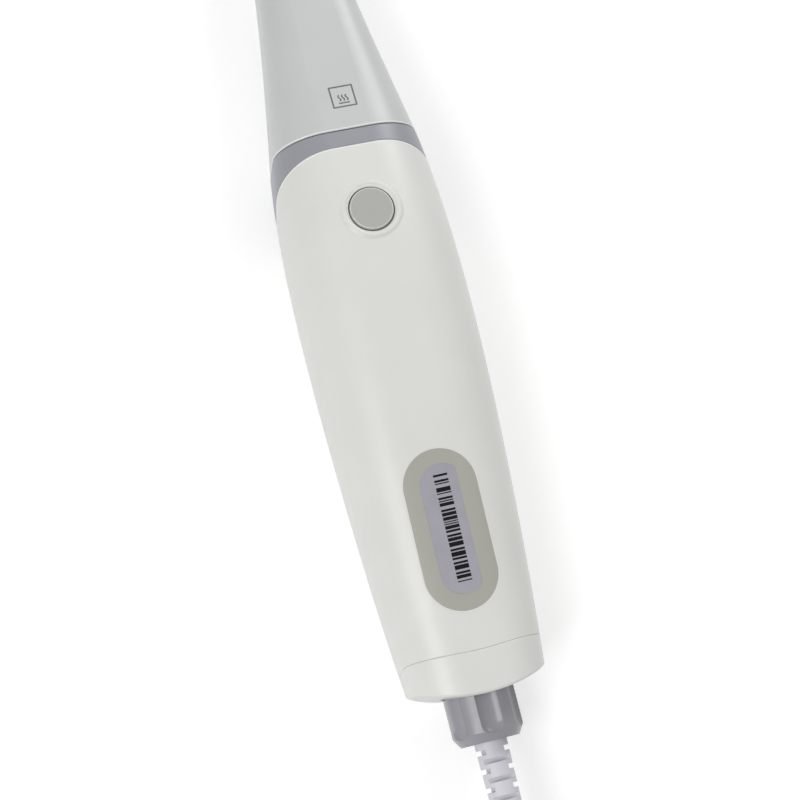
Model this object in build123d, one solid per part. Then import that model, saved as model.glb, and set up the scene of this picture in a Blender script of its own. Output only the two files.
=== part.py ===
from build123d import *
from math import cos, pi, radians, sin, tan
import os

# Intraoral scanner lying on its flat back. Millimetres, +Z up, +Y towards the tip.
# The origin is on the rest face, straight under the axis of the scan button.

# Rounded sections of the handpiece, from the tip's mouth to the cable end
mouth_y = 22.9
mouth_width = 39.0
mouth_low = 0.6
mouth_high = 37.6
mouth_corner = 13.5
button_width = 43.6
button_high = 40.0
button_corner = 17.0
belly_y = -35.0
belly_width = 44.4
belly_high = 39.6
belly_corner = 17.0
waist_y = -75.0
waist_width = 41.2
waist_high = 36.2
waist_corner = 15.0
rear_width = 33.2
rear_high = 32.0
rear_corner = 11.5
back_shave = 0.3
form_overrun = 0.6
edge_reach = 0.001

# Slanted parting planes, given where they cross the front line of the form
collar_front_width = 4.8
collar_slant = 23.0
cap_front_y = -111.5
cap_slant = 7.5
cap_front_radius = 88.0

# Removable tip
tip_length = 89.0
tip_flare_length = 32.0
tip_flare_width = 28.8
tip_flare_depth = 27.0
tip_flare_corner = 8.5
tip_neck_length = 59.0
tip_neck_width = 22.6
tip_neck_depth = 20.0
tip_neck_corner = 6.5
tip_end_width = 19.6
tip_end_depth = 16.0
tip_end_corner = 5.5
tip_wall = 1.6
tip_gap = 0.35
tip_end_round = 1.1
tip_lip_round = 0.5
mirror_setback = 14.0
mirror_thickness = 1.0
mirror_backing = 5.5
mirror_fit = 0.1
scan_window_width = 12.5
scan_window_length = 12.0

# Shells and the nose that the tip slides on
housing_wall = 2.2
housing_lip_round = 0.6
seam_round = 0.25
shell_fit = 0.15
liner_wall = 1.8
liner_overlap = 4.6
nose_clearance = 0.35
nose_wall = 1.8
nose_length = 39.0
nose_window_thickness = 1.6
nose_window_ledge = 0.9
nose_window_fit = 0.1

# Scan button, its raised ring and the switch below it
button_diameter = 11.3
button_gap = 0.3
button_proud = 0.25
button_edge = 0.35
button_flange_rim = 1.3
button_flange_thickness = 0.8
button_travel = 0.7
button_stop_gap = 0.9
button_stem_diameter = 4.0
button_stem_length = 0.7
ring_diameter = 15.6
ring_raise = 0.3
ring_dish = 0.5
ring_round = 0.2
switch_size = 6.2
switch_height = 3.4
plunger_diameter = 3.0
plunger_length = 1.5
plunger_clearance = 0.3
button_board_width = 11.0
button_board_length = 28.0
button_board_thickness = 1.2
button_post_spacing = 19.4
button_post_diameter = 4.0
post_root = 0.75

# Label inlay set in the front of the housing
label_y = -82.7
label_spacing = 21.4
label_diameter = 18.8
label_depth = 0.55
label_sink = 0.05
label_fit = 0.1
label_edge = 0.12

# Optics on their bench
bench_z = 5.5
bench_thickness = 2.0
bench_width = 21.0
bench_front_y = -7.0
bench_length = 38.0
bulkhead_thickness = 3.6
bulkhead_top = 27.8
bench_post_diameter = 5.0
bench_post_inset = 3.4
barrel_diameter = 14.0
barrel_wall = 1.3
barrel_length = 46.0
barrel_behind_bulkhead = 6.5
barrel_fit = 0.1
lens_thickness = 3.2
lens_setback = 1.2
lens_rim = 0.8
lens_crown = 1.4
prism_size = 11.0
prism_gap = 1.0
projector_diameter = 9.0
projector_length = 4.6
engine_thickness = 3.6
engine_size = 11.0
engine_edge = 0.6
camera_board_width = 18.0
camera_board_height = 17.0
camera_board_thickness = 1.4
sensor_size = 9.0
sensor_thickness = 1.8

# Main board with its parts
board_z = 9.0
board_thickness = 1.6
board_width = 22.0
board_gap = 5.0
board_length = 52.0
board_post_diameter = 5.0
board_post_inset = 3.2
processor_size = 14.0
processor_thickness = 2.0
processor_setback = 26.0
memory_width = 8.0
memory_length = 7.0
memory_thickness = 1.2
memory_spacing = 10.0
memory_setback = 40.4
sink_width = 18.0
sink_length = 20.0
sink_base = 2.0
sink_fin_height = 9.0
sink_fin_thickness = 1.0
sink_fin_count = 6
flex_socket_width = 9.0
flex_socket_length = 3.0
flex_socket_height = 2.2
flex_width = 6.0
flex_thickness = 0.3
flex_overlap = 2.0

# Screws for the three boards
screw_head_diameter = 3.4
screw_head_height = 1.3
screw_shank_diameter = 1.8
screw_shank_length = 4.0
screw_fit = 0.1

# End cap with the cable socket in its middle
cap_end_y = -120.6
cap_bulge = 1.5
cap_end_radius = 42.0
cap_end_slant = 1.5
cap_edge_round = 0.7
cap_floor = 2.3
cap_lip_wall = 1.4
cap_lip_length = 4.0
cable_axis_z = 16.0
socket_diameter = 13.0
socket_bore = 10.0
socket_fit = 0.1
socket_flange_diameter = 17.0
socket_flange_thickness = 1.8
socket_reach = 8.1
insert_length = 7.0
pin_count = 8
pin_diameter = 0.9
pin_circle = 6.2
pin_length = 3.5
pin_fit = 0.1

# Lock nut, cable end and strain relief
nut_diameter = 18.0
nut_length = 12.7
nut_recess_gap = 0.6
nut_gap = 0.4
nut_bore_clearance = 0.3
nut_shoulder = 2.2
nut_front_edge = 0.5
nut_chamfer_depth = 1.5
nut_chamfer_length = 2.4
flute_count = 6
flute_radius = 5.0
flute_depth = 1.3
flute_end_margin = 2.0
connector_end_gap = 0.3
connector_plug_length = 4.0
boot_diameter = 8.3
boot_end_diameter = 7.0
boot_length = 44.0
boot_slot_width = 1.2
boot_slot_pitch = 4.6
boot_slot_floor = 2.3
boot_slot_start = 2.3
boot_slot_pairs = 8

# Cable, put away as a tied coil that ends in a plug
cable_diameter = 4.2
coil_x = -12.0
coil_y = -267.0
coil_mid_radius = 25.0
coil_rows = 3
coil_layers = 4
coil_gap = 0.2
coil_round = 1.6
lead_shares = [(0, 0.16, 1), (0.083, 0.32, 0.67), (0.324, 0.48, 0.18),
               (0.63, 0.65, 0), (0.93, 0.82, 0), (1, 1, 0)]
tail_step = 25.0
tail_heading = -80.0
tail_runs = 4
tail_rise_share = 0.67
bend_share = 0.45
tie_width = 9.0
tie_thickness = 0.9
tie_gap = 0.1
plug_width = 11.6
plug_thickness = 6.6
plug_length = 20.0
plug_round = 1.5
plug_edge = 0.75
plug_shell_width = 8.3
plug_shell_height = 2.5
plug_shell_length = 6.6
plug_shell_wall = 0.35
plug_tongue_width = 6.4
plug_tongue_height = 0.7
plug_tongue_round = 0.23

# Places that several pieces share
axis_z = (mouth_low + mouth_high) / 2
roof_z = button_high - housing_wall
floor_z = housing_wall - back_shave
rear_y = cap_end_y - cap_bulge - form_overrun
nose_end_y = mouth_y + nose_length
tip_end_y = mouth_y + tip_length
mirror_y = tip_end_y - mirror_setback
liner_inset = housing_wall + shell_fit
nose_inset = tip_wall + nose_clearance
bench_top = bench_z + bench_thickness
bench_back_y = bench_front_y - bench_length
board_top = board_z + board_thickness
board_front_y = bench_back_y - board_gap
board_back_y = board_front_y - board_length
processor_y = board_front_y - processor_setback
memory_y = board_front_y - memory_setback
cap_inner_y = cap_end_y + cap_floor
socket_end_y = cap_end_y - socket_reach
nut_front_y = cap_end_y - nut_gap
nut_end_y = nut_front_y - nut_length
shoulder_y = nut_end_y + nut_shoulder
connector_end_y = shoulder_y + connector_end_gap
boot_end_y = connector_end_y - boot_length
cable_radius = cable_diameter / 2
coil_outer_radius = coil_mid_radius + coil_rows * cable_radius
coil_inner_radius = coil_mid_radius - coil_rows * cable_radius
coil_height = coil_layers * cable_diameter

collar_plane = Plane(origin=(0, mouth_y - collar_front_width, mouth_high),
                     z_dir=(0, 1, -tan(radians(collar_slant))))
cap_plane = Plane(origin=(0, cap_front_y, rear_high),
                  z_dir=(0, 1, -tan(radians(cap_slant))))


def across(y):
    return Plane(origin=(0, y, 0), z_dir=(0, 1, 0))


def section(y, width, low, high, corner, inset):
    plane = Plane(origin=(0, y, (low + high) / 2), x_dir=(1, 0, 0), z_dir=(0, -1, 0))
    return plane * RectangleRounded(width - 2 * inset, high - low - 2 * inset, corner - inset)


def body_form(inset=0.0):
    return loft([
        section(mouth_y, mouth_width, mouth_low, mouth_high, mouth_corner, inset),
        section(0, button_width, -back_shave, button_high, button_corner, inset),
        section(belly_y, belly_width, -back_shave, belly_high, belly_corner, inset),
        section(waist_y, waist_width, -back_shave, waist_high, waist_corner, inset),
        section(rear_y, rear_width, -back_shave, rear_high, rear_corner, inset),
    ])


def tip_section(distance, width, depth, corner, inset):
    return section(mouth_y + distance, width, axis_z - depth / 2, axis_z + depth / 2, corner, inset)


def tip_form(inset=0.0):
    return loft([
        section(mouth_y, mouth_width, mouth_low, mouth_high, mouth_corner, inset),
        tip_section(tip_flare_length, tip_flare_width, tip_flare_depth, tip_flare_corner, inset),
        tip_section(tip_neck_length, tip_neck_width, tip_neck_depth, tip_neck_corner, inset),
        tip_section(tip_length, tip_end_width, tip_end_depth, tip_end_corner, inset),
    ])


def ahead(shape, plane):
    return split(shape, bisect_by=plane, keep=Keep.TOP)


def behind(shape, plane):
    return split(shape, bisect_by=plane, keep=Keep.BOTTOM)


def edges_on(shape, plane):
    return shape.edges().filter_by(lambda edge: abs(plane.to_local_coords(edge.center()).Z) < edge_reach)


def block(x0, x1, y0, y1, z0, z1):
    centre = Pos((x0 + x1) / 2, (y0 + y1) / 2, (z0 + z1) / 2)
    return centre * Box(abs(x1 - x0), abs(y1 - y0), abs(z1 - z0))


def post(x, y, z0, z1, diameter):
    return Pos(x, y, (z0 + z1) / 2) * Cylinder(diameter / 2, abs(z1 - z0))


def rod(y0, y1, diameter, x=0.0, z=0.0):
    return Pos(x, (y0 + y1) / 2, z) * Rot(90, 0, 0) * Cylinder(diameter / 2, abs(y1 - y0))


def turned(profile):
    face = make_face(Polyline(*profile, close=True))
    return Pos(0, 0, cable_axis_z) * revolve(face, axis=Axis.Y)


def joined(shapes):
    whole = shapes[0]
    for shape in shapes[1:]:
        whole = whole + shape
    return whole


def mirror_plane(offset):
    step = offset / 2 ** 0.5
    return Plane(origin=(0, mirror_y + step, axis_z + step), z_dir=(0, 1, 1))


# Screw places: pairs of (x, y) for each board
def corner_places(width, front_y, length, inset):
    return [(x, y) for x in (-width / 2 + inset, width / 2 - inset)
            for y in (front_y - inset, front_y - length + inset)]


bench_places = corner_places(bench_width, bench_front_y - bulkhead_thickness,
                             bench_length - 2 * bulkhead_thickness, bench_post_inset)
board_places = corner_places(board_width, board_front_y, board_length, board_post_inset)
button_places = [(0, -button_post_spacing / 2), (0, button_post_spacing / 2)]
button_flange_top = roof_z - button_stop_gap
button_flange_low = button_flange_top - button_flange_thickness
stem_low = button_flange_low - button_stem_length
plunger_low = stem_low - plunger_length
button_board_top = stem_low - button_travel - plunger_clearance - switch_height
button_board_low = button_board_top - button_board_thickness


def screw(x, y, seat_z, downwards=True):
    way = -1 if downwards else 1
    head = post(x, y, seat_z, seat_z - way * screw_head_height, screw_head_diameter)
    shank = post(x, y, seat_z, seat_z + way * screw_shank_length, screw_shank_diameter)
    return head + shank


def screw_holes(places, z0, z1):
    return joined([post(x, y, z0, z1, screw_shank_diameter + 2 * screw_fit) for x, y in places])


# Tip: a thin tapered shell, closed by a sloping end that carries the mirror
def make_tip_shell():
    outer = ahead(tip_form(), across(mouth_y + tip_gap))
    outer = behind(outer, mirror_plane(mirror_backing))
    end_edges = outer.edges().filter_by(lambda edge: edge.center().Y > mirror_y - tip_end_depth / 2)
    outer = fillet(end_edges, tip_end_round)
    outer = fillet(edges_on(outer, across(mouth_y + tip_gap)), tip_lip_round)
    cavity = behind(tip_form(tip_wall), mirror_plane(0))
    window = block(-scan_window_width / 2, scan_window_width / 2,
                   mirror_y - scan_window_length / 2, mirror_y + scan_window_length / 2,
                   mouth_low, axis_z)
    return outer - cavity - behind(window, mirror_plane(0))


def make_tip_mirror():
    plate = behind(tip_form(tip_wall + mirror_fit), mirror_plane(0))
    return ahead(plate, mirror_plane(-mirror_thickness))


# Nose: a liner behind the collar and a tapered tube that the tip slides on
def make_nose_tube():
    liner_back = Plane(origin=collar_plane.origin - Vector(0, liner_overlap, 0), z_dir=collar_plane.z_dir)
    liner = ahead(body_form(liner_inset) - body_form(liner_inset + liner_wall), liner_back)
    nose = tip_form(nose_inset) - tip_form(nose_inset + nose_wall)
    nose = behind(nose, across(nose_end_y))
    seat = ahead(tip_form(nose_inset + nose_window_ledge), across(nose_end_y - nose_window_thickness))
    return liner + nose - seat


def make_nose_window():
    pane = tip_form(nose_inset + nose_window_ledge + nose_window_fit)
    return ahead(behind(pane, across(nose_end_y)), across(nose_end_y - nose_window_thickness))


def label_prism(extra):
    slot = SlotCenterToCenter(label_spacing, label_diameter + 2 * extra)
    outline = Pos(0, label_y, axis_z) * Rot(0, 0, 90) * slot
    return extrude(outline, amount=button_high)


# Housing: one moulded tube with a raised button ring, a label recess and screw posts
def hollowed(run):
    return ahead(run - body_form(housing_wall), Plane.XY)


def make_collar_ring():
    ring = ahead(behind(body_form(), across(mouth_y)), collar_plane)
    ring = fillet(edges_on(ring, across(mouth_y)), seam_round)
    return hollowed(fillet(edges_on(ring, collar_plane), seam_round))


def ahead_of_cap():
    lean = Pos(0, cap_front_y + cap_front_radius, rear_high) * Rot(-cap_slant, 0, 0)
    return lean * Cylinder(cap_front_radius, 4 * rear_high)


def on_ring_rim(edge):
    middle = edge @ 0.5
    from_axis = Vector(middle.X, middle.Y).length
    return middle.Z > button_high - ring_raise and abs(from_axis - ring_diameter / 2) < edge_reach


def make_housing():
    housing = behind(body_form(), collar_plane) & ahead_of_cap()
    housing = fillet(edges_on(housing, collar_plane), housing_lip_round)
    housing = hollowed(fillet(housing.faces().sort_by(Axis.Y)[0].edges(), seam_round))
    ring = body_form(-ring_raise) & post(0, 0, roof_z, button_high + ring_raise, ring_diameter)
    ring = fillet(ring.edges().filter_by(on_ring_rim), ring_round)
    dish_top = button_high + ring_raise
    dish_low_radius = button_diameter / 2 + button_gap
    dish_radius = ring_diameter / 2 - button_gap - ring_round
    dish = Pos(0, 0, dish_top - ring_dish / 2) * Cone(dish_low_radius, dish_radius, ring_dish)
    hole = post(0, 0, axis_z, dish_top, button_diameter + 2 * button_gap)
    housing = housing + ring - dish - hole
    housing = housing - (label_prism(label_fit) - body_form(label_depth))
    root_z = floor_z - post_root
    housing = housing + [post(x, y, root_z, bench_z, bench_post_diameter) for x, y in bench_places]
    housing = housing + [post(x, y, root_z, board_z, board_post_diameter) for x, y in board_places]
    hang_z = roof_z + post_root
    housing = housing + [post(x, y, button_board_top, hang_z, button_post_diameter) for x, y in button_places]
    housing = housing - screw_holes(bench_places, floor_z, bench_z)
    housing = housing - screw_holes(board_places, floor_z, board_z)
    return housing - screw_holes(button_places, button_board_top, roof_z)


def make_label_inlay():
    inlay = (label_prism(0) & body_form(label_sink)) - body_form(label_depth)
    return chamfer(inlay.faces().sort_by(Axis.Z)[-1].edges(), label_edge)


# Scan button: a flanged cap that presses a plunger into the switch
def make_button_cap():
    top = button_high + button_proud
    cap = post(0, 0, button_flange_top, top, button_diameter)
    cap = chamfer(cap.edges().group_by(Axis.Z)[-1], button_edge)
    flange = post(0, 0, button_flange_low, button_flange_top, button_diameter + 2 * button_flange_rim)
    return cap + flange + post(0, 0, stem_low, button_flange_low, button_stem_diameter)


def make_button_switch():
    half = switch_size / 2
    case = block(-half, half, -half, half, button_board_top, button_board_top + switch_height)
    well_low = plunger_low - button_travel - plunger_clearance
    return case - post(0, 0, well_low, stem_low, plunger_diameter + 2 * plunger_clearance)


def make_button_board():
    half_x = button_board_width / 2
    half_y = button_board_length / 2
    board = block(-half_x, half_x, -half_y, half_y, button_board_low, button_board_top)
    return board - screw_holes(button_places, button_board_low, button_board_top)


# Bench: plate, two bulkheads and the pads under prism and light engine
barrel_back_y = bench_front_y - bulkhead_thickness - barrel_behind_bulkhead
prism_front_y = barrel_back_y - prism_gap
prism_y = prism_front_y - prism_size / 2
prism_low = axis_z - prism_size / 2
engine_x = prism_size / 2 + prism_gap / 2 + projector_length
camera_y = bench_back_y + bulkhead_thickness + camera_board_thickness


def make_optics_bench():
    half = bench_width / 2
    plate = block(-half, half, bench_front_y, bench_back_y, bench_z, bench_top)
    front = block(-half, half, bench_front_y, bench_front_y - bulkhead_thickness, bench_z, bulkhead_top)
    back = block(-half, half, bench_back_y, bench_back_y + bulkhead_thickness, bench_z, bulkhead_top)
    pad = block(-prism_size / 2, engine_x + engine_thickness,
                prism_front_y, prism_front_y - prism_size, bench_top, prism_low)
    bench = plate + front + back + pad
    bore = rod(bench_front_y, bench_front_y - bulkhead_thickness, barrel_diameter + 2 * barrel_fit, z=axis_z)
    return bench - bore - screw_holes(bench_places, bench_z, bench_top)


def make_lens_barrel():
    front = barrel_back_y + barrel_length
    bore = barrel_diameter - 2 * barrel_wall
    barrel = rod(barrel_back_y, front, barrel_diameter, z=axis_z)
    barrel = barrel - rod(barrel_back_y, front, bore - 2 * lens_rim, z=axis_z)
    return barrel - rod(front - lens_setback - lens_thickness, front, bore, z=axis_z)


def make_objective_lens():
    rim = (barrel_diameter - 2 * barrel_wall) / 2 - barrel_fit
    back = barrel_back_y + barrel_length - lens_setback - lens_thickness
    crown_radius = (rim ** 2 + lens_crown ** 2) / (2 * lens_crown)
    crown = Pos(0, back + lens_thickness - crown_radius, axis_z) * Sphere(crown_radius)
    return rod(back, back + lens_thickness, 2 * rim, z=axis_z) & crown


def make_beam_splitter():
    half = prism_size / 2
    return block(-half, half, prism_front_y, prism_front_y - prism_size, prism_low, prism_low + prism_size)


def make_projector_barrel():
    return Pos(engine_x - projector_length / 2, prism_y, axis_z) * Rot(0, 90, 0) * Cylinder(
        projector_diameter / 2, projector_length)


def make_light_engine():
    half = engine_size / 2
    case = block(engine_x, engine_x + engine_thickness, prism_y - half, prism_y + half,
                 prism_low, axis_z + half)
    return chamfer(case.edges().filter_by(Axis.X), engine_edge)


def make_camera_board():
    half = camera_board_width / 2
    low = axis_z - camera_board_height / 2
    return block(-half, half, camera_y - camera_board_thickness, camera_y, low, low + camera_board_height)


def make_image_sensor():
    half = sensor_size / 2
    return block(-half, half, camera_y, camera_y + sensor_thickness, axis_z - half, axis_z + half)


# Main board and what is soldered to it
def make_main_board():
    half = board_width / 2
    board = block(-half, half, board_front_y, board_back_y, board_z, board_top)
    return board - screw_holes(board_places, board_z, board_top)


def make_processor():
    half = processor_size / 2
    top = board_top + processor_thickness
    return block(-half, half, processor_y - half, processor_y + half, board_top, top)


def make_memory():
    chips = []
    for x in (-memory_spacing / 2, memory_spacing / 2):
        chips.append(block(x - memory_width / 2, x + memory_width / 2, memory_y - memory_length / 2,
                           memory_y + memory_length / 2, board_top, board_top + memory_thickness))
    return joined(chips)


def make_heat_sink():
    low = board_top + processor_thickness
    half_x = sink_width / 2
    half_y = sink_length / 2
    sink = block(-half_x, half_x, processor_y - half_y, processor_y + half_y, low, low + sink_base)
    pitch = (sink_width - sink_fin_thickness) / (sink_fin_count - 1)
    for index in range(sink_fin_count):
        x = -half_x + index * pitch
        sink = sink + block(x, x + sink_fin_thickness, processor_y - half_y, processor_y + half_y,
                            low + sink_base, low + sink_base + sink_fin_height)
    return sink


# Flat flexes: each is a folded strip that ends in a socket on the main board
sensor_socket_y = board_front_y - flex_socket_length
button_socket_y = sensor_socket_y - 2 * flex_socket_length
rear_socket_y = board_back_y + 2 * flex_socket_length
flex_socket_top = board_top + flex_socket_height
flex_low = flex_socket_top + flex_thickness / 2


def make_flex_sockets():
    half = flex_socket_width / 2
    return joined([block(-half, half, y - flex_socket_length / 2, y + flex_socket_length / 2,
                         board_top, flex_socket_top)
                   for y in (sensor_socket_y, button_socket_y, rear_socket_y)])


def strip(points):
    face = Plane.YZ * make_face(offset(Polyline(*points), flex_thickness / 2, side=Side.BOTH))
    return extrude(face, amount=flex_width / 2, both=True)


def make_button_flex():
    z = button_board_low - flex_thickness / 2
    start_y = -button_board_length / 2 + flex_overlap
    return strip([(start_y, z), (button_socket_y, z), (button_socket_y, flex_low)])


def make_sensor_flex():
    z = max(axis_z + camera_board_height / 2, bulkhead_top) + flex_thickness / 2
    return strip([(camera_y, z), (sensor_socket_y, z), (sensor_socket_y, flex_low)])


def make_socket_flex():
    y = cap_inner_y + socket_flange_thickness + flex_thickness / 2
    return strip([(y, cable_axis_z), (rear_socket_y, cable_axis_z), (rear_socket_y, flex_low)])


# End cap: bowed end, a recess for the nut, a lip that enters the housing and a hole for the socket
def make_end_cap():
    lean = Pos(0, cap_end_y - cap_bulge + cap_end_radius, cable_axis_z) * Rot(cap_end_slant, 0, 0)
    shell = (body_form() - ahead_of_cap()) & (lean * Cylinder(cap_end_radius, 4 * rear_high))
    shell = fillet(shell.faces().sort_by(Axis.Y)[-1].edges(), seam_round)
    shell = ahead(fillet(shell.faces().sort_by(Axis.Y)[0].edges(), cap_edge_round), Plane.XY)
    lip_front = Plane(origin=cap_plane.origin + Vector(0, cap_lip_length, 0), z_dir=cap_plane.z_dir)
    lip = ahead(behind(body_form(housing_wall + shell_fit), lip_front), across(cap_inner_y))
    cavity = ahead(body_form(housing_wall + shell_fit + cap_lip_wall), across(cap_inner_y))
    hole = rod(rear_y, cap_inner_y, socket_diameter + 2 * socket_fit, z=cable_axis_z)
    recess = rod(rear_y, cap_end_y, nut_diameter + 2 * nut_recess_gap, z=cable_axis_z)
    return shell + lip - cavity - hole - recess


def make_rear_socket():
    outer = socket_diameter / 2
    flange = socket_flange_diameter / 2
    bore = socket_bore / 2
    front = cap_inner_y + socket_flange_thickness
    return turned([(bore, socket_end_y), (outer, socket_end_y), (outer, cap_inner_y), (flange, cap_inner_y),
                   (flange, front), (bore, front)])


insert_back_y = cap_inner_y + socket_flange_thickness - insert_length


def make_contact_insert():
    return rod(insert_back_y, insert_back_y + insert_length, socket_bore - 2 * socket_fit, z=cable_axis_z)


def pin_rods(extra):
    rods = []
    for index in range(pin_count):
        angle = radians(360 / pin_count * index)
        x = pin_circle / 2 * cos(angle)
        z = cable_axis_z + pin_circle / 2 * sin(angle)
        rods.append(rod(insert_back_y, insert_back_y - pin_length - extra, pin_diameter + 2 * extra, x, z))
    return joined(rods)


# Lock nut: turned, then fluted for the fingers
def make_lock_nut():
    outer = nut_diameter / 2
    bore = socket_diameter / 2 + nut_bore_clearance
    hole = boot_diameter / 2 + nut_bore_clearance
    nut = turned([(bore, nut_front_y), (outer - nut_front_edge, nut_front_y),
                  (outer, nut_front_y - nut_front_edge), (outer, nut_end_y + nut_chamfer_length),
                  (outer - nut_chamfer_depth, nut_end_y), (hole, nut_end_y),
                  (hole, shoulder_y), (bore, shoulder_y)])
    reach = outer + flute_radius - flute_depth
    end = nut_end_y + nut_chamfer_length + flute_end_margin
    for index in range(flute_count):
        angle = radians(360 / flute_count * index)
        x = reach * sin(angle)
        z = cable_axis_z + reach * cos(angle)
        flute = rod(end, nut_front_y, 2 * flute_radius, x, z) + Pos(x, end, z) * Sphere(flute_radius)
        nut = nut - flute
    return nut


def make_cable_connector():
    flange = socket_diameter / 2
    plug = socket_bore / 2 - socket_fit
    front = socket_end_y
    nose = front + connector_plug_length
    body = turned([(0, connector_end_y), (flange, connector_end_y), (flange, front), (plug, front),
                   (plug, nose), (0, nose)])
    return body - pin_rods(pin_fit)


# Strain relief: a slender cone with finger slots, turned a quarter from ring to ring
def make_strain_relief():
    radius = boot_diameter / 2
    end_radius = boot_end_diameter / 2
    boot = turned([(0, connector_end_y), (radius, connector_end_y), (radius, nut_end_y),
                   (end_radius, boot_end_y), (0, boot_end_y)])
    for index in range(2 * boot_slot_pairs):
        y = nut_end_y - boot_slot_start - index * boot_slot_pitch / 2
        turn = 90 * (index % 2)
        depth = radius - boot_slot_floor + form_overrun
        for side in (-1, 1):
            slot = Box(depth, boot_slot_width, boot_diameter)
            slot = Pos(side * (boot_slot_floor + depth / 2), 0, 0) * slot
            boot = boot - Pos(0, y, cable_axis_z) * Rot(0, turn, 0) * slot
    return boot


# Cable: a lead from the strain relief to the coil, the coil and a tail to the plug
lead_side_x = coil_x + coil_outer_radius + cable_radius + coil_gap
lead_points = [(0, boot_end_y, cable_axis_z)]
for aside, along, height in lead_shares:
    lead_points.append((aside * lead_side_x, boot_end_y + along * (coil_y - boot_end_y),
                        cable_radius + height * (cable_axis_z - cable_radius)))
tail_z = coil_height + cable_radius + coil_gap
plug_z = coil_height + coil_gap + plug_thickness / 2


def on_coil(angle, z):
    turn = radians(angle)
    return Vector(coil_x + coil_mid_radius * cos(turn), coil_y + coil_mid_radius * sin(turn), z)


def tail_points():
    points = []
    for index in range(tail_runs + 1):
        angle = tail_heading + tail_step * (tail_runs - index - 0.5)
        share = index / tail_runs
        points.append(on_coil(angle, tail_z + (plug_z - tail_z) * min(1, share / tail_rise_share)))
    return points


def cord_path(name, points):
    points = [Vector(*point) for point in points]
    radii = []
    for before, here, after in zip(points, points[1:], points[2:]):
        turn = (here - before).get_angle(after - here)
        run = min((here - before).length, (after - here).length)
        radii.append(bend_share * run / tan(radians(turn / 2)))
    print(name, "radii", [round(radius, 1) for radius in radii])
    return FilletPolyline(*points, radius=radii)


def tube(name, points):
    path = cord_path(name, points)
    start = Plane(origin=path @ 0, z_dir=path % 0)
    cable = sweep(start * Circle(cable_radius), path=path)
    expected = pi * cable_radius ** 2 * path.length
    print(name, "length", round(path.length, 1))
    print(name, "volume over section times length", round(cable.volume / expected, 4))
    return cable


def coil_ring():
    width = coil_outer_radius - coil_inner_radius
    outline = Pos(coil_mid_radius, coil_height / 2) * RectangleRounded(width, coil_height, coil_round)
    return Pos(coil_x, coil_y, 0) * revolve(Plane.XZ * outline, axis=Axis.Z)


def tie_box(extra, half_width, low, high):
    chord_x = (coil_inner_radius ** 2 - (tie_width / 2 + tie_gap) ** 2) ** 0.5
    return block(coil_x - coil_outer_radius - extra, coil_x - chord_x + extra,
                 coil_y - half_width, coil_y + half_width, low, high)


def make_cable_coil():
    return coil_ring() - tie_box(tie_gap, tie_width / 2 + tie_gap, 0, tie_thickness + tie_gap)


def make_coil_tie():
    reach = tie_gap + tie_thickness
    strap = tie_box(reach, tie_width / 2, 0, coil_height + reach)
    return strap - tie_box(tie_gap, tie_width / 2, tie_thickness, coil_height + tie_gap)


# Plug, lying on the coil at the end of the tail
def on_plug(shape):
    end = tail_points()[-1]
    return Pos(end.X, end.Y, plug_z) * Rot(0, 0, tail_heading) * shape


def plug_bar(width, height, start, length, corner):
    plane = Plane(origin=(0, -start, 0), x_dir=(1, 0, 0), z_dir=(0, -1, 0))
    return extrude(plane * RectangleRounded(width, height, corner), amount=length)


def make_plug_body():
    grip = plug_bar(plug_width, plug_thickness, 0, plug_length, plug_round)
    return on_plug(chamfer(grip.edges().group_by(Axis.Y)[-1], plug_edge))


def make_plug_shell():
    corner = plug_shell_height / 2 - plug_shell_wall / 2
    outer = plug_bar(plug_shell_width, plug_shell_height, plug_length, plug_shell_length, corner)
    inner_height = plug_shell_height - 2 * plug_shell_wall
    inner = plug_bar(plug_shell_width - 2 * plug_shell_wall, inner_height, plug_length, plug_shell_length,
                     corner - plug_shell_wall)
    return on_plug(outer - inner)


def make_plug_tongue():
    return on_plug(plug_bar(plug_tongue_width, plug_tongue_height, plug_length,
                            plug_shell_length - plug_shell_wall, plug_tongue_round))


nodes = {
    "tip_shell": make_tip_shell(),
    "tip_mirror": make_tip_mirror(),
    "collar_ring": make_collar_ring(),
    "nose_tube": make_nose_tube(),
    "nose_window": make_nose_window(),
    "housing": make_housing(),
    "label_inlay": make_label_inlay(),
    "button_cap": make_button_cap(),
    "switch_plunger": post(0, 0, plunger_low, stem_low, plunger_diameter),
    "button_switch": make_button_switch(),
    "button_board": make_button_board(),
    "button_screws": joined([screw(x, y, button_board_low, False) for x, y in button_places]),
    "optics_bench": make_optics_bench(),
    "bench_screws": joined([screw(x, y, bench_top) for x, y in bench_places]),
    "lens_barrel": make_lens_barrel(),
    "objective_lens": make_objective_lens(),
    "beam_splitter": make_beam_splitter(),
    "projector_barrel": make_projector_barrel(),
    "light_engine": make_light_engine(),
    "camera_board": make_camera_board(),
    "image_sensor": make_image_sensor(),
    "main_board": make_main_board(),
    "board_screws": joined([screw(x, y, board_top) for x, y in board_places]),
    "processor_chip": make_processor(),
    "memory_chips": make_memory(),
    "heat_sink": make_heat_sink(),
    "flex_sockets": make_flex_sockets(),
    "button_flex": make_button_flex(),
    "sensor_flex": make_sensor_flex(),
    "socket_flex": make_socket_flex(),
    "end_cap": make_end_cap(),
    "rear_socket": make_rear_socket(),
    "contact_insert": make_contact_insert(),
    "contact_pins": pin_rods(0),
    "lock_nut": make_lock_nut(),
    "cable_connector": make_cable_connector(),
    "strain_relief": make_strain_relief(),
    "cable_lead": tube("cable_lead", lead_points),
    "cable_coil": make_cable_coil(),
    "cable_tail": tube("cable_tail", tail_points()),
    "coil_tie": make_coil_tie(),
    "plug_body": make_plug_body(),
    "plug_shell": make_plug_shell(),
    "plug_tongue": make_plug_tongue(),
}

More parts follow.
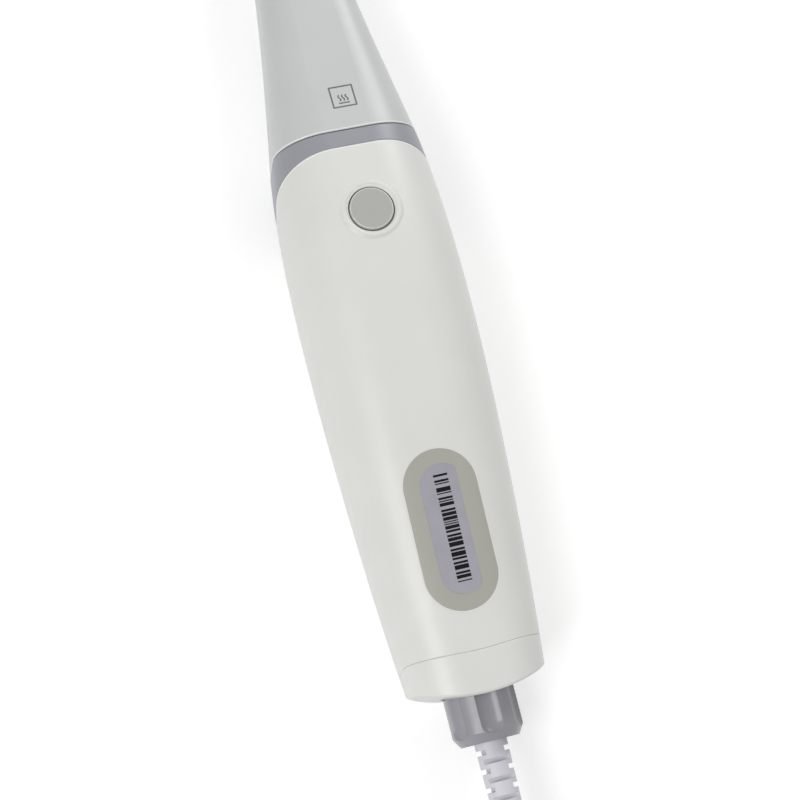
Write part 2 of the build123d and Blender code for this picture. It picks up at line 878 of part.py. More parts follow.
os.makedirs("parts", exist_ok=True)
for name, shape in nodes.items():
    export_step(shape, f"parts/{name}.step")
print("nodes", len(nodes))
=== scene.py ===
import math
import random

import bmesh
import bpy
from mathutils import Matrix, Vector
from mathutils.bvhtree import BVHTree


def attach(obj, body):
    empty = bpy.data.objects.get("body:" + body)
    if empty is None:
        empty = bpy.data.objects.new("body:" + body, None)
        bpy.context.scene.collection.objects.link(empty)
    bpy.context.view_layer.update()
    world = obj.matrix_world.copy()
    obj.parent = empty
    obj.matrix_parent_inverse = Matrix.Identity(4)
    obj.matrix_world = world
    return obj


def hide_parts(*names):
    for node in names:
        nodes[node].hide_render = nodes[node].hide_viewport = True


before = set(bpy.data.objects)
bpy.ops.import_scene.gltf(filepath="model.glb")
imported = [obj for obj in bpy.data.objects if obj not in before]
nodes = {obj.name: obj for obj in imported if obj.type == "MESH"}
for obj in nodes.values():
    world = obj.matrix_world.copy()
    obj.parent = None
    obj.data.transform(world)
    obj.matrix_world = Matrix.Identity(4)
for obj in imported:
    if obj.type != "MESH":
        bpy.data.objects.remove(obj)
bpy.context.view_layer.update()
scene = bpy.context.scene
mm = 0.001
white = (1, 1, 1, 1)
print("stage: frame loaded,", len(nodes), "nodes")

# camera: lens and sensor in mm, the rest in metres and degrees about the floor point under the button
cameraView = {
    "lens": 73.8,
    "sensor": 36,
    "nearest": 0.01,
    "distance": 0.44977,
    "lean": 12.381,
    "turn": 10.43,
    "roll": 14.364,
    "aimX": -0.01201,
    "aimY": 0.03809,
}


def makeCamera(view):
    lean, turn, roll = (math.radians(view[key]) for key in ("lean", "turn", "roll"))
    across = Vector((math.cos(turn), 0, math.sin(turn)))
    along = Vector((-math.sin(lean) * math.sin(turn), math.cos(lean), math.sin(lean) * math.cos(turn)))
    back = across.cross(along)
    right = across * math.cos(roll) - along * math.sin(roll)
    up = across * math.sin(roll) + along * math.cos(roll)
    data = bpy.data.cameras.new("camera")
    data.lens = view["lens"]
    data.sensor_width = view["sensor"]
    data.clip_start = view["nearest"]
    camera = bpy.data.objects.new("camera", data)
    camera.matrix_world = Matrix((right, up, back)).transposed().to_4x4()
    camera.location = back * view["distance"] - right * view["aimX"] - up * view["aimY"]
    scene.collection.objects.link(camera)
    scene.camera = camera


makeCamera(cameraView)

# cable: the lead's and tail's route points, with the put-away coil wound between them
cable = {
    "diameter": 4.2 * mm,
    "length": 1.92,
    "coilCentre": (-12 * mm, -267 * mm),
    "entryRadius": 33.6 * mm,
    "rows": (20.8 * mm, 25.0 * mm, 29.2 * mm),
    "layers": (2.1 * mm, 6.3 * mm, 10.5 * mm, 14.7 * mm, 19.1 * mm),
    "overTie": 1.0 * mm,
    "turns": 10.96,
    "pointsPerTurn": 16,
    "stepsPerPoint": 5,
    "roundness": 4,
}
# lead as (x, y, z) in mm, tail as (degrees round the coil, height in mm)
leadPoints = [
    (0, -175.2, 16), (0, -189.9, 16), (1.8, -204.6, 11.4), (7, -219.3, 4.6),
    (13.6, -234.9, 2.1), (20.1, -250.5, 2.1), (21.6, -267, 2.1),
]
tailPoints = [(7.5, 19.1), (-17.5, 19.55), (-42.5, 20.0), (-67.5, 20.3), (-92.5, 20.3)]
# where the winding changes row or layer: first turn, last turn, from, to
inner, middle, outer = cable["rows"]
radiusMoves = [
    (0, 0.25, cable["entryRadius"], outer), (1, 1.25, outer, middle), (2, 2.25, middle, inner),
    (3.5, 3.75, inner, middle), (4.5, 4.75, middle, outer),
    (6, 6.25, outer, middle), (7, 7.25, middle, inner),
    (8.5, 8.75, inner, middle), (9.5, 9.75, middle, outer), (10.5, 10.75, outer, middle),
]
heights = cable["layers"]
tieHeight = heights[4] + cable["overTie"]
heightMoves = [
    (2.75, 3.0, heights[0], heights[1]), (5.25, 5.5, heights[1], heights[2]),
    (7.75, 8.0, heights[2], heights[3]), (10.2, 10.45, heights[3], tieHeight),
    (10.6, 10.75, tieHeight, heights[4]),
]


def moved(turn, moves):
    value = moves[0][2]
    for start, end, low, high in moves:
        share = min(1, max(0, (turn - start) / (end - start)))
        share = share * share * (3 - 2 * share)  # eases in and out
        if turn > start:
            value = low + (high - low) * share
    return value


def onCoil(angle, radius, height):
    x, y = cable["coilCentre"]
    return (x + radius * math.cos(angle), y + radius * math.sin(angle), height)


def cableRoute():
    points = [tuple(c * mm for c in point) for point in leadPoints]
    perTurn = cable["pointsPerTurn"]
    # a curve of order 3 runs inside its points, so they stand a little outside the coil's radius
    outward = 1 / (0.75 + 0.25 * math.cos(math.tau / perTurn))
    for step in range(1, round(cable["turns"] * perTurn)):
        turn = step / perTurn
        radius = moved(turn, radiusMoves) * outward
        points.append(onCoil(-math.tau * turn, radius, moved(turn, heightMoves)))
    for angle, height in tailPoints:
        points.append(onCoil(math.radians(angle), middle, height * mm))
    return points


def makeCable():
    data = bpy.data.curves.new("cable", "CURVE")
    data.dimensions = "3D"
    data.bevel_depth = 1  # each point's radius gives the thickness
    data.bevel_resolution = cable["roundness"]
    data.resolution_u = cable["stepsPerPoint"]
    data.use_fill_caps = True
    route = cableRoute()
    spline = data.splines.new("NURBS")
    spline.points.add(len(route) - 1)
    for point, place in zip(spline.points, route):
        point.co = (*place, 1)
        point.radius = cable["diameter"] / 2
    spline.order_u = 3
    spline.use_endpoint_u = True
    obj = bpy.data.objects.new("cable", data)
    scene.collection.objects.link(obj)
    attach(obj, "handpiece")
    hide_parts("cable_lead", "cable_coil", "cable_tail")
    tuple(c * mm for c in leadPoints[0])
    return obj


cableLine = makeCable()
print("stage: camera and cable")


def linear(colour):
    # from sRGB levels to the linear colour of a shader socket
    shares = [c / 255 for c in colour]
    return tuple(c / 12.92 if c <= 0.04045 else ((c + 0.055) / 1.055) ** 2.4 for c in shares) + (1,)


def lighter(colour, amount):
    return tuple(min(255, max(0, c + amount)) for c in colour)


class Paint:
    # a material under construction: its node tree, shader and rest coordinates
    def __init__(self, name):
        self.material = bpy.data.materials.new(name)
        self.material.use_nodes = True
        self.tree = self.material.node_tree
        self.shader = self.tree.nodes["Principled BSDF"]
        self.place = self.node("ShaderNodeTexCoord").outputs["Object"]

    def node(self, kind, **values):
        made = self.tree.nodes.new(kind)
        for key, value in values.items():
            setattr(made, key, value)
        return made

    def link(self, source, target):
        self.tree.links.new(source, target)

    def noise(self, size, detail=3.0, stretch=None):
        made = self.node("ShaderNodeTexNoise")
        made.inputs["Scale"].default_value = 1 / size
        made.inputs["Detail"].default_value = detail
        place = self.place
        if stretch:
            mapping = self.node("ShaderNodeMapping")
            mapping.inputs["Scale"].default_value = stretch
            self.link(place, mapping.inputs["Vector"])
            place = mapping.outputs["Vector"]
        self.link(place, made.inputs["Vector"])
        return made.outputs["Fac"]

    def spread(self, source, low, high, start=0, end=1):
        made = self.node("ShaderNodeMapRange")
        made.inputs["From Min"].default_value = start
        made.inputs["From Max"].default_value = end
        made.inputs["To Min"].default_value = low
        made.inputs["To Max"].default_value = high
        self.link(source, made.inputs["Value"])
        return made.outputs["Result"]

    def mottle(self, source, colour, darker, brighter, start=0.3, end=0.7):
        # the base colour, a few levels darker and brighter in soft patches
        made = self.node("ShaderNodeValToRGB")
        dark, bright = made.color_ramp.elements
        dark.position, bright.position = start, end
        dark.color = linear(lighter(colour, -darker))
        bright.color = linear(lighter(colour, brighter))
        self.link(source, made.inputs["Fac"])
        self.link(made.outputs["Color"], self.shader.inputs["Base Color"])

    def roughness(self, source, low, high):
        self.link(self.spread(source, low, high), self.shader.inputs["Roughness"])

    def bump(self, source, height, strength):
        made = self.node("ShaderNodeBump")
        made.inputs["Strength"].default_value = strength
        made.inputs["Distance"].default_value = height
        self.link(source, made.inputs["Height"])
        self.link(made.outputs["Normal"], self.shader.inputs["Normal"])

    def set(self, **values):
        for key, value in values.items():
            self.shader.inputs[key.replace("_", " ")].default_value = value


# moulded plastic: soft mottling, fine spark-eroded grain and a worn satin gloss
mouldedPlastic = {
    "shift": 2,
    "cloudSize": 14 * mm,
    "cloudDetail": 4,
    "wearSize": 4 * mm,
    "wearDetail": 5,
    "wear": 0.05,
    "grainSize": 0.25 * mm,
    "grainDetail": 2,
    "grainHeight": 0.004 * mm,
    "grain": 0.6,
    "specular": 0.5,
    "coat": 0.0,
    "coatRough": 0.2,
}


def moulded(name, change):
    look = {**mouldedPlastic, **change}
    paint = Paint(name)
    cloud = paint.noise(look["cloudSize"], look["cloudDetail"])
    paint.mottle(cloud, look["colour"], look["shift"], look["shift"])
    wear = paint.noise(look["wearSize"], look["wearDetail"])
    paint.roughness(wear, look["rough"] - look["wear"], look["rough"] + look["wear"])
    paint.bump(paint.noise(look["grainSize"], look["grainDetail"]), look["grainHeight"], look["grain"])
    paint.set(Specular_IOR_Level=look["specular"])
    paint.set(Coat_Weight=look["coat"], Coat_Roughness=look["coatRough"])
    return paint.material


# drawn or machined metal: fine lines along one axis, slight tarnish
machinedMetal = {
    "cloudSize": 3 * mm,
    "cloudDetail": 4,
    "tarnish": 8,
    "polish": 6,
    "lineSize": 0.4 * mm,
    "lineStretch": (1, 0.05, 1),
    "lineHeight": 0.003 * mm,
    "lineRough": 0.08,
    "lineDepth": 0.5,
}


def metal(name, change):
    look = {**machinedMetal, **change}
    paint = Paint(name)
    cloud = paint.noise(look["cloudSize"], look["cloudDetail"])
    paint.mottle(cloud, look["colour"], look["tarnish"], look["polish"])
    lines = paint.noise(look["lineSize"], stretch=look["lineStretch"])
    paint.roughness(lines, look["rough"] - look["lineRough"], look["rough"] + look["lineRough"])
    paint.bump(lines, look["lineHeight"], look["lineDepth"])
    paint.set(Metallic=1.0)
    return paint.material


# optical glass with a faint coating and a little dust
opticalGlass = {
    "dustSize": 0.6 * mm,
    "dustDetail": 6,
    "dust": 10,
    "dustFrom": 0.4,
    "dustTo": 0.8,
    "dustRough": 0.05,
    "clearness": 0.9,
    "bending": 1.5,
    "coat": 0.3,
}


def clear(name, change):
    look = {**opticalGlass, **change}
    paint = Paint(name)
    dust = paint.noise(look["dustSize"], look["dustDetail"])
    paint.mottle(dust, look["colour"], 0, look["dust"], look["dustFrom"], look["dustTo"])
    paint.roughness(dust, look["rough"], look["rough"] + look["dustRough"])
    paint.set(Transmission_Weight=look["clearness"], IOR=look["bending"], Coat_Weight=look["coat"])
    return paint.material


# solder mask over copper runs, with the runs just proud
solderMask = {
    "runSpacing": 3.2 * mm,
    "runWidth": 0.06,
    "runHeight": 0.03 * mm,
    "runDepth": 0.5,
    "shift": 6,
    "wearSize": 2 * mm,
    "rough": (0.3, 0.42),
}


def circuit(name, change):
    look = {**solderMask, **change}
    paint = Paint(name)
    brick = paint.node("ShaderNodeTexBrick")
    brick.inputs["Scale"].default_value = 1 / look["runSpacing"]
    brick.inputs["Mortar Size"].default_value = look["runWidth"]
    brick.inputs["Color1"].default_value = linear(look["colour"])
    brick.inputs["Color2"].default_value = linear(lighter(look["colour"], look["shift"]))
    brick.inputs["Mortar"].default_value = linear(look["runs"])
    paint.link(paint.place, brick.inputs["Vector"])
    paint.link(brick.outputs["Color"], paint.shader.inputs["Base Color"])
    paint.bump(brick.outputs["Fac"], look["runHeight"], look["runDepth"])
    paint.roughness(paint.noise(look["wearSize"]), *look["rough"])
    return paint.material


# finishes by record slot; colours are sRGB as seen under neutral light
finishes = {
    "housing_white": (moulded, {"colour": (226, 226, 222), "rough": 0.42, "shift": 1.5, "coat": 0.08}),
    "tip_grey": (moulded, {"colour": (199, 202, 200), "rough": 0.4, "shift": 1.5, "coat": 0.15,
                           "coatRough": 0.3}),
    "collar_grey": (moulded, {"colour": (151, 152, 159), "rough": 0.38}),
    "nut_grey": (moulded, {"colour": (146, 146, 153), "rough": 0.3, "shift": 3, "coat": 0.3}),
    "button_silver": (moulded, {"colour": (178, 179, 174), "rough": 0.3, "coat": 0.2}),
    "label_grey": (moulded, {"colour": (172, 171, 162), "rough": 0.5}),
    "nose_dark": (moulded, {"colour": (52, 54, 58), "rough": 0.5, "shift": 3}),
    "chip_black": (moulded, {"colour": (34, 34, 37), "rough": 0.55, "shift": 4, "grainHeight": 0.01 * mm}),
    "barrel_black": (moulded, {"colour": (28, 28, 30), "rough": 0.5, "shift": 3}),
    "insert_black": (moulded, {"colour": (30, 30, 33), "rough": 0.5, "shift": 3}),
    "boot_lavender": (moulded, {"colour": (213, 212, 219), "rough": 0.5}),
    "cable_sheath": (moulded, {"colour": (208, 207, 212), "rough": 0.5}),
    "tie_black": (moulded, {"colour": (44, 44, 47), "rough": 0.8, "shift": 6, "grainHeight": 0.05 * mm}),
    "plug_grey": (moulded, {"colour": (150, 151, 158), "rough": 0.45, "shift": 3}),
    "flex_amber": (moulded, {"colour": (176, 112, 40), "rough": 0.35, "shift": 8}),
    "mirror": (metal, {"colour": (236, 238, 240), "rough": 0.09, "lineHeight": 0.0002 * mm}),
    "bench_aluminium": (metal, {"colour": (190, 192, 196), "rough": 0.35}),
    "screw_steel": (metal, {"colour": (170, 170, 174), "rough": 0.3}),
    "socket_nickel": (metal, {"colour": (198, 196, 190), "rough": 0.25}),
    "pin_gold": (metal, {"colour": (214, 176, 96), "rough": 0.22}),
    "plug_steel": (metal, {"colour": (196, 197, 200), "rough": 0.25}),
    "glass": (clear, {"colour": (225, 235, 238), "rough": 0.02}),
    "board_green": (circuit, {"colour": (24, 84, 54), "runs": (58, 122, 84)}),
}
materials = {slot: make(slot + "_finish", look) for slot, (make, look) in finishes.items()}
slotOf = {name: obj.material_slots[0].material.name.split(".")[0] for name, obj in nodes.items()}
for name, obj in nodes.items():
    obj.data.materials[0] = materials[slotOf[name]]
cableLine.data.materials.append(materials["cable_sheath"])
print("stage: finishes on", len(slotOf), "nodes")


def addPatch(shape, patch):
    # puts a patch's corners and faces behind those that the shape has
    corners, faces = shape
    more, quads = patch
    faces += [tuple(corner + len(corners) for corner in quad) for quad in quads]
    corners += more


def surfaceTree(*names):
    shape = ([], [])
    for name in names:
        mesh = nodes[name].data
        addPatch(shape, ([vertex.co.copy() for vertex in mesh.vertices],
                         [face.vertices for face in mesh.polygons]))
    return BVHTree.FromPolygons(*shape)


probeHeight = 100 * mm  # well above the handpiece


def above(tree, x, y, lift):
    place, normal, face, distance = tree.ray_cast(Vector((x, y, probeHeight)), Vector((0, 0, -1)))
    return place + normal * lift


def addPiece(name, shape, body, slot, material, smooth=False):
    corners, faces = shape
    mesh = bpy.data.meshes.new(name)
    mesh.from_pydata(corners, [], faces)
    turned = bmesh.new()
    turned.from_mesh(mesh)
    bmesh.ops.recalc_face_normals(turned, faces=turned.faces)
    turned.to_mesh(mesh)
    turned.free()
    mesh.materials.append(material)
    if smooth:
        mesh.shade_smooth()
    obj = bpy.data.objects.new(name, mesh)
    scene.collection.objects.link(obj)
    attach(obj, body)


def draped(tree, rows, lift, sink, closed=False):
    # a thin solid patch laid on a surface, from equal rows; closed joins the last row to the first
    count = len(rows[0])
    size = len(rows) * count
    corners = [above(tree, x, y, height) for height in (lift, -sink) for row in rows for x, y in row]
    faces, walls = [], []
    if not closed:
        walls += [(j, j + 1) for j in range(count - 1)]
        walls += [(size - 1 - j, size - 2 - j) for j in range(count - 1)]
    for i in range(len(rows) if closed else len(rows) - 1):
        here, there = i * count, (i + 1) % len(rows) * count
        for j in range(count - 1):
            quad = (here + j, there + j, there + j + 1, here + j + 1)
            faces.append(quad)
            faces.append(tuple(size + corner for corner in reversed(quad)))
        walls += [(there, here), (here + count - 1, there + count - 1)]
    faces += [(a, b, size + b, size + a) for a, b in walls]
    return corners, faces


# label sticker: a foil stadium cut straight on its right side
sticker = {
    "centreX": 0.5 * mm,
    "centreY": -82.5 * mm,
    "capSpacing": 21.0 * mm,
    "radius": 5.6 * mm,
    "right": 4.55 * mm,
    "lift": 0.07 * mm,
    "sink": 0.02 * mm,
    "endAngles": range(88, -1, -8),
    "straightRows": 16,
    "columns": 10,
    "finish": {"colour": (162, 160, 169), "metallic": 0.15, "cloudSize": 5 * mm, "shift": 3,
               "lineSize": 0.3 * mm, "lineStretch": (1, 0.15, 1), "rough": (0.34, 0.46),
               "lineHeight": 0.004 * mm, "lineDepth": 0.5},
}


def foil(name, look):
    paint = Paint(name)
    paint.mottle(paint.noise(look["cloudSize"]), look["colour"], look["shift"], look["shift"])
    lines = paint.noise(look["lineSize"], stretch=look["lineStretch"])
    paint.roughness(lines, *look["rough"])
    paint.bump(lines, look["lineHeight"], look["lineDepth"])
    paint.set(Metallic=look["metallic"])
    return paint.material


def stickerRows(look):
    radius, half = look["radius"], look["capSpacing"] / 2
    straight, columns = look["straightRows"], look["columns"]
    ends = [half + radius * math.sin(math.radians(angle)) for angle in look["endAngles"]]
    sides = [half * (1 - 2 * k / straight) for k in range(1, straight + 1)]
    rows = []
    for along in ends + sides + [-end for end in reversed(ends[:-1])]:
        beyond = max(0, abs(along) - half)
        aside = math.sqrt(max(0, radius ** 2 - beyond ** 2))
        left = look["centreX"] - aside
        right = min(look["centreX"] + aside, look["right"])
        y = look["centreY"] + along
        rows.append([(left + (right - left) * k / columns, y) for k in range(columns + 1)])
    return rows


inlayTree = surfaceTree("label_inlay")
addPiece("label_sticker", draped(inlayTree, stickerRows(sticker), sticker["lift"], sticker["sink"]),
         "handpiece", "label_grey", foil("sticker_foil", sticker["finish"]))

# label rim: the moulded lip that the inlay is pressed into, along the inlay's outline
labelRim = {
    "centreY": -82.7 * mm,
    "capSpacing": 21.4 * mm,
    "radii": (9.24 * mm, 9.6 * mm),
    "lift": 0.05 * mm,
    "sink": 0.02 * mm,
    "around": 96,
    "nudge": 1e-6,  # tells the front half from the rear one at the sides
}


def labelRimRows(look):
    rows = []
    half = look["capSpacing"] / 2
    for turn in range(look["around"]):
        angle = math.tau * turn / look["around"]
        capY = look["centreY"] + math.copysign(half, math.sin(angle + look["nudge"]))
        across, along = math.cos(angle), math.sin(angle)
        rows.append([(radius * across, capY + radius * along) for radius in look["radii"]])
    return rows


rimTree = surfaceTree("housing", "label_inlay")
addPiece("label_rim", draped(rimTree, labelRimRows(labelRim), labelRim["lift"], labelRim["sink"], True),
         "handpiece", "housing_white", materials["housing_white"])

# label bars: a plain printed bar strip that encodes nothing; widths and gaps in units
labelBars = {
    "left": -1.35 * mm,
    "right": 2.25 * mm,
    "top": -69.1 * mm,
    "bottom": -96.9 * mm,
    "unit": 0.27 * mm,
    "widths": (1, 1, 2, 2, 3, 4),
    "gaps": (1, 1, 2, 3),
    "seed": 11,
    "lift": 0.09 * mm,
    "ink": {"colour": (12, 12, 15), "rough": 0.7, "shift": 5, "specular": 0.15},
}


def makeBars(look):
    dice = random.Random(look["seed"])
    shape = ([], [])
    y = look["top"]
    while y > look["bottom"] + max(look["widths"]) * look["unit"]:
        width = dice.choice(look["widths"]) * look["unit"]
        rows = [[(look["left"], edge), (look["right"], edge)] for edge in (y, y - width)]
        addPatch(shape, draped(inlayTree, rows, look["lift"], 0))
        y -= width + dice.choice(look["gaps"]) * look["unit"]
    return shape


addPiece("label_bars", makeBars(labelBars),
         "handpiece", "label_grey", moulded("print_ink", labelBars["ink"]))
print("stage: label")

# button rim: the soft swell of the housing round the button, as (radius, rise) steps in mm
buttonRim = {
    "steps": [(5.98, -0.22), (6.1, 0.05), (6.4, 0.32), (6.7, 0.5), (6.95, 0.58), (7.2, 0.58),
              (7.4, 0.52), (7.6, 0.4), (7.8, 0.26), (8.0, 0.13), (8.2, 0.04), (8.45, -0.06)],
    "around": 96,
    "beyond": 9.4 * mm,
    "flatHalf": 4.8 * mm,
}


def makeButtonRim(look):
    # the housing's own slope and crown are read just beyond the rim
    tree = surfaceTree("housing")
    reach, flat = look["beyond"], look["flatHalf"]
    front, rear, side = (above(tree, *place, 0).z for place in ((0, reach), (0, -reach), (reach, 0)))
    fall = (front + rear) / 2 - side
    count, around = len(look["steps"]), look["around"]
    corners, faces = [], []
    for turn in range(around):
        angle = math.tau * turn / around
        for radius, rise in look["steps"]:
            x, y = radius * mm * math.cos(angle), radius * mm * math.sin(angle)
            beside = max(0, abs(x) - flat) / (reach - flat)
            along = rear + (front - rear) * (y / reach + 1) / 2
            corners.append((x, y, along - fall * beside ** 2 + rise * mm))
        here, there = turn * count, (turn + 1) % around * count
        for step in range(count):
            later = (step + 1) % count
            faces.append((here + step, here + later, there + later, there + step))
    return corners, faces


addPiece("button_rim", makeButtonRim(buttonRim),
         "handpiece", "housing_white", materials["housing_white"], True)
print("stage: button rim")

# edge lips: fine beads on the rounded edges of housing and tip, where they meet the collar, coloured
# lighter than their parts as a painted highlight that also lies over the seam's shade;
# slant is the edge's lean in degrees, and way says on which side of the edge the part lies
edgeLipHighlights = {
    "housing_lip_highlight": {
        "node": "housing",
        "body": "handpiece",
        "slot": "housing_white",
        "middle": (0, 10.0 * mm, 19.1 * mm),
        "front": (0, 18.1 * mm, 37.6 * mm),
        "slant": 23.0,
        "way": -1,
        # lighter than the housing's own colour: painted highlight along the edge
        "finish": {"colour": (246, 246, 243), "rough": 0.35, "shift": 1, "coat": 0.3},
    },
    "tip_lip_highlight": {
        "node": "tip_shell",
        "body": "tip",
        "slot": "tip_grey",
        "middle": (0, 23.25 * mm, 19.1 * mm),
        "front": (0, 23.25 * mm, 38.3 * mm),
        "slant": 0.0,
        "way": 1,
        # lighter than the tip's own colour: painted highlight along the edge
        "finish": {"colour": (232, 234, 232), "rough": 0.35, "shift": 1, "coat": 0.3},
    },
}
# how both beads lie; the surface is probed at two distances behind the edge's rounding
lipBead = {
    "radius": 0.3 * mm,
    "setBack": 0.28 * mm,
    "proud": 0.05 * mm,
    "probes": (0.78 * mm, 1.28 * mm),
    "outside": 60 * mm,
    "reach": 118,  # degrees to each side of the top
    "taper": 0.06,  # share of the bead's length
    "thinnest": 0.1,
    "around": 160,
    "sides": 8,
}


def bead(rings, sides, closed):
    # a fine round bead through rings of (centre, first direction, second direction, radius)
    corners, faces = [], []
    for centre, first, second, radius in rings:
        for side in range(sides):
            bend = math.tau * side / sides
            corners.append(centre + (first * math.sin(bend) + second * math.cos(bend)) * radius)
    count = len(rings)
    for ring in range(count if closed else count - 1):
        low, high = ring * sides, (ring + 1) % count * sides
        for side in range(sides):
            later = (side + 1) % sides
            faces.append((low + side, low + later, high + later, high + side))
    if not closed:
        faces.append(tuple(range(sides)))
        faces.append(tuple(reversed(range((count - 1) * sides, count * sides))))
    return corners, faces


def makeEdgeLipHighlight(look):
    tree = surfaceTree(look["node"])
    slant = math.radians(look["slant"])
    along = Vector((0, math.cos(slant), -math.sin(slant))) * look["way"]
    upward = Vector((0, math.sin(slant), math.cos(slant)))
    front, middle = Vector(look["front"]), Vector(look["middle"])
    middle = middle - along * (middle - front).dot(along)
    near, far = lipBead["probes"]
    full, back, outside = lipBead["radius"], lipBead["setBack"], lipBead["outside"]
    rings = []
    for turn in range(lipBead["around"] + 1):
        share = turn / lipBead["around"]
        angle = math.radians(lipBead["reach"]) * (2 * share - 1)
        outward = Vector((math.sin(angle), 0, 0)) + upward * math.cos(angle)
        depths = []
        for probe in (near, far):
            start = middle + along * probe + outward * outside
            depths.append(outside - tree.ray_cast(start, -outward)[3])
        slope = (depths[0] - depths[1]) / (far - near)
        ended = min(1, share / lipBead["taper"], (1 - share) / lipBead["taper"])
        reach = depths[0] + slope * (near - back) + lipBead["proud"] * ended - full
        centre = middle + along * back + outward * reach
        rings.append((centre, along, outward, full * max(lipBead["thinnest"], ended)))
    return bead(rings, lipBead["sides"], False)


for name, look in edgeLipHighlights.items():
    finish = moulded(name + "_finish", look["finish"])
    addPiece(name, makeEdgeLipHighlight(look), look["body"], look["slot"], finish, True)
print("stage: edge lips")

# button edge: a fine bead on the scan button's turned edge, coloured lighter than the button as a painted
# highlight
buttonEdgeHighlight = {
    "radius": 5.32 * mm,
    "height": 40.2 * mm,
    "bead": 0.1 * mm,
    "around": 128,
    "sides": 8,
    # lighter than the button's own colour: painted highlight on the turned edge
    "finish": {"colour": (222, 223, 217), "rough": 0.25, "shift": 1, "coat": 0.4},
}


def makeButtonEdgeHighlight(look):
    rings = []
    for turn in range(look["around"]):
        angle = math.tau * turn / look["around"]
        outward = Vector((math.cos(angle), math.sin(angle), 0))
        centre = outward * look["radius"] + Vector((0, 0, look["height"]))
        rings.append((centre, Vector((0, 0, 1)), outward, look["bead"]))
    return bead(rings, look["sides"], True)


addPiece("button_edge", makeButtonEdgeHighlight(buttonEdgeHighlight), "button", "button_silver",
         moulded("button_edge_finish", buttonEdgeHighlight["finish"]), True)
print("stage: button edge")

# tip mark: a square with three steam lines over a base line
tipMark = {
    "centreX": 0.75 * mm,
    "centreY": 32.75 * mm,
    "size": 6.0 * mm,
    "sideSteps": 6,
    "stroke": 0.4 * mm,
    "mitre": 0.3,
    "waveStroke": 0.36 * mm,
    "waveGap": 0.95 * mm,
    "waveTop": 0.5 * mm,
    "waveLow": -1.35 * mm,
    "waveSwing": -0.26 * mm,
    "waveSteps": 12,
    "baseY": -1.95 * mm,
    "baseHalf": 1.45 * mm,
    "baseSteps": 6,
    "lift": 0.03 * mm,
    "sink": 0.02 * mm,
    "ink": {"colour": (104, 107, 104), "rough": 0.6, "shift": 6, "wearSize": 0.8 * mm},
}


def stroke(points, width, closed=False):
    # pairs of points on both sides of a line, with mitred corners
    rows = []
    last = len(points) - 1
    for i, (x, y) in enumerate(points):
        before = points[i - 1] if i or closed else points[i]
        after = points[(i + 1) % len(points)] if i < last or closed else points[i]
        first = Vector((x - before[0], y - before[1])).normalized() if before != (x, y) else None
        second = Vector((after[0] - x, after[1] - y)).normalized() if after != (x, y) else None
        first, second = first or second, second or first
        normal = Vector((-first.y - second.y, first.x + second.x)).normalized()
        reach = width / 2 / max(tipMark["mitre"], normal.dot(Vector((-first.y, first.x))))
        aside = (normal.x * reach, normal.y * reach)
        rows.append([(x + aside[0], y + aside[1]), (x - aside[0], y - aside[1])])
    return rows


def markLines(look):
    half, steps = look["size"] / 2, look["sideSteps"]
    ends = [(-1, 1), (1, 1), (1, -1), (-1, -1)]
    square = []
    for (x0, y0), (x1, y1) in zip(ends, ends[1:] + ends[:1]):
        for k in range(steps):
            square.append(((x0 + (x1 - x0) * k / steps) * half, (y0 + (y1 - y0) * k / steps) * half))
    yield stroke(square, look["stroke"], True), True
    for column in (-1, 0, 1):
        wave = []
        for k in range(look["waveSteps"] + 1):
            drop = k / look["waveSteps"]
            swing = look["waveSwing"] * math.sin(math.tau * drop)
            y = look["waveTop"] + (look["waveLow"] - look["waveTop"]) * drop
            wave.append((column * look["waveGap"] + swing, y))
        yield stroke(wave, look["waveStroke"]), False
    half, steps = look["baseHalf"], look["baseSteps"]
    base = [(-half + 2 * half * k / steps, look["baseY"]) for k in range(steps + 1)]
    yield stroke(base, look["waveStroke"]), False


def makeTipMark(look):
    tree = surfaceTree("tip_shell")
    shape = ([], [])
    for rows, closed in markLines(look):
        placed = [[(x + look["centreX"], y + look["centreY"]) for x, y in row] for row in rows]
        addPatch(shape, draped(tree, placed, look["lift"], look["sink"], closed))
    return shape


addPiece("tip_mark", makeTipMark(tipMark), "tip", "tip_grey", moulded("mark_ink", tipMark["ink"]))
print("stage: tip mark")

# studio: pale floor, even surround, a large soft light from the left and a smaller one beyond the tip
studio = {
    "floorSize": 8.0,
    "floorColour": (0.88, 0.88, 0.88, 1),
    "floorRough": 0.9,
    "floorSpecular": 0.1,
    "floorGlow": (0.35, 0.68),
    "glowReach": (0.5, 1.5),
    "surround": 0.38,
    "lamps": {
        "key": {"place": (-0.56, -0.3, 0.74), "size": 0.5, "power": 4.2},
        "tipLight": {"place": (0.5, 0.62, 0.5), "size": 0.45, "power": 3.5},
    },
    "aim": (0, -0.03, 0.02),
}


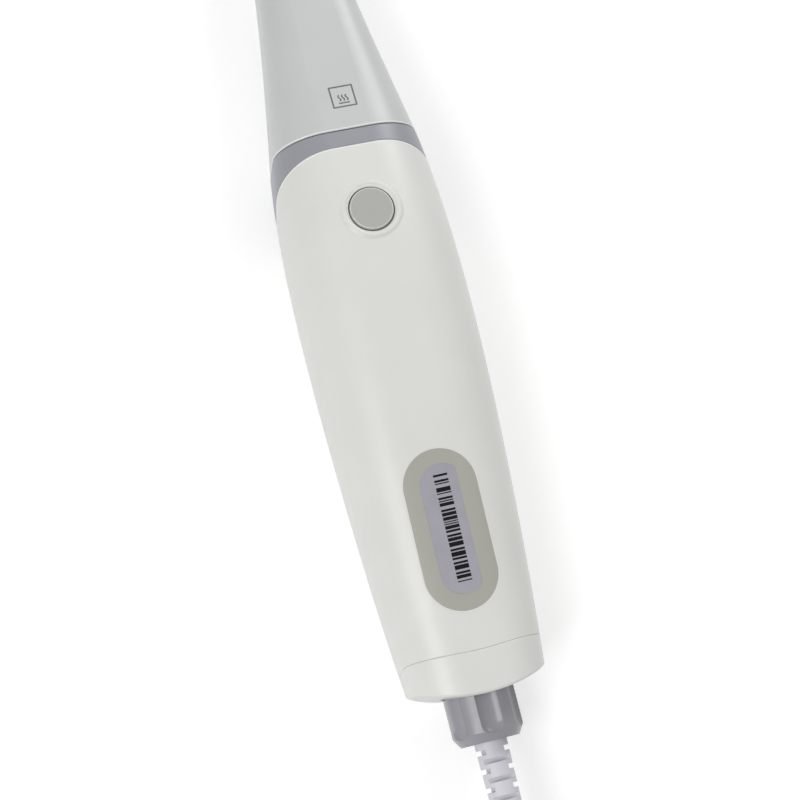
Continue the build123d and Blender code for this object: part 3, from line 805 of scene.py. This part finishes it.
def directRays(tree):
    # 1 where the camera, a reflection or a refraction looks, 0 for the light that falls on things
    rays = tree.nodes.new("ShaderNodeLightPath")
    total = None
    for name in ("Is Camera Ray", "Is Glossy Ray", "Is Transmission Ray"):
        largest = tree.nodes.new("ShaderNodeMath")
        largest.operation = "MAXIMUM"
        largest.inputs[1].default_value = 0
        tree.links.new(rays.outputs[name], largest.inputs[0])
        if total:
            tree.links.new(total, largest.inputs[1])
        total = largest.outputs["Value"]
    return total


def makeFloor(look):
    half = look["floorSize"] / 2
    mesh = bpy.data.meshes.new("floor")
    ends = [(-half, -half, 0), (half, -half, 0), (half, half, 0), (-half, half, 0)]
    mesh.from_pydata(ends, [], [(0, 1, 2, 3)])
    floor = bpy.data.objects.new("floor", mesh)
    scene.collection.objects.link(floor)
    paint = Paint("floor_paper")
    paint.set(Base_Color=look["floorColour"], Roughness=look["floorRough"])
    paint.set(Specular_IOR_Level=look["floorSpecular"], Emission_Color=white)
    # the paper stays white far off, where the lamps fade, and keeps the shadow near the object
    away = paint.node("ShaderNodeVectorMath", operation="LENGTH")
    paint.link(paint.place, away.inputs[0])
    glow = paint.spread(away.outputs["Value"], *look["floorGlow"], *look["glowReach"])
    shown = paint.node("ShaderNodeMath", operation="MULTIPLY")
    paint.link(directRays(paint.tree), shown.inputs[0])
    paint.link(glow, shown.inputs[1])
    paint.link(shown.outputs["Value"], paint.shader.inputs["Emission Strength"])
    mesh.materials.append(paint.material)


def makeSurround(look):
    # white to look at, and a plain even level of light on the object
    world = bpy.data.worlds.new("surround")
    scene.world = world
    world.use_nodes = True
    tree = world.node_tree
    sky = tree.nodes["Background"]
    sky.inputs["Color"].default_value = white
    strength = tree.nodes.new("ShaderNodeMapRange")
    strength.inputs["To Min"].default_value = look["surround"]
    strength.inputs["To Max"].default_value = 1.0
    tree.links.new(directRays(tree), strength.inputs["Value"])
    tree.links.new(strength.outputs["Result"], sky.inputs["Strength"])


def makeLamps(look):
    for name, lampLook in look["lamps"].items():
        light = bpy.data.lights.new(name, "AREA")
        light.size = lampLook["size"]
        light.energy = lampLook["power"]
        lamp = bpy.data.objects.new(name, light)
        lamp.location = lampLook["place"]
        lamp.rotation_euler = (Vector(look["aim"]) - lamp.location).to_track_quat("-Z", "Y").to_euler()
        scene.collection.objects.link(lamp)


makeFloor(studio)
makeSurround(studio)
makeLamps(studio)
scene.view_settings.view_transform = "Standard"
print("stage: studio")
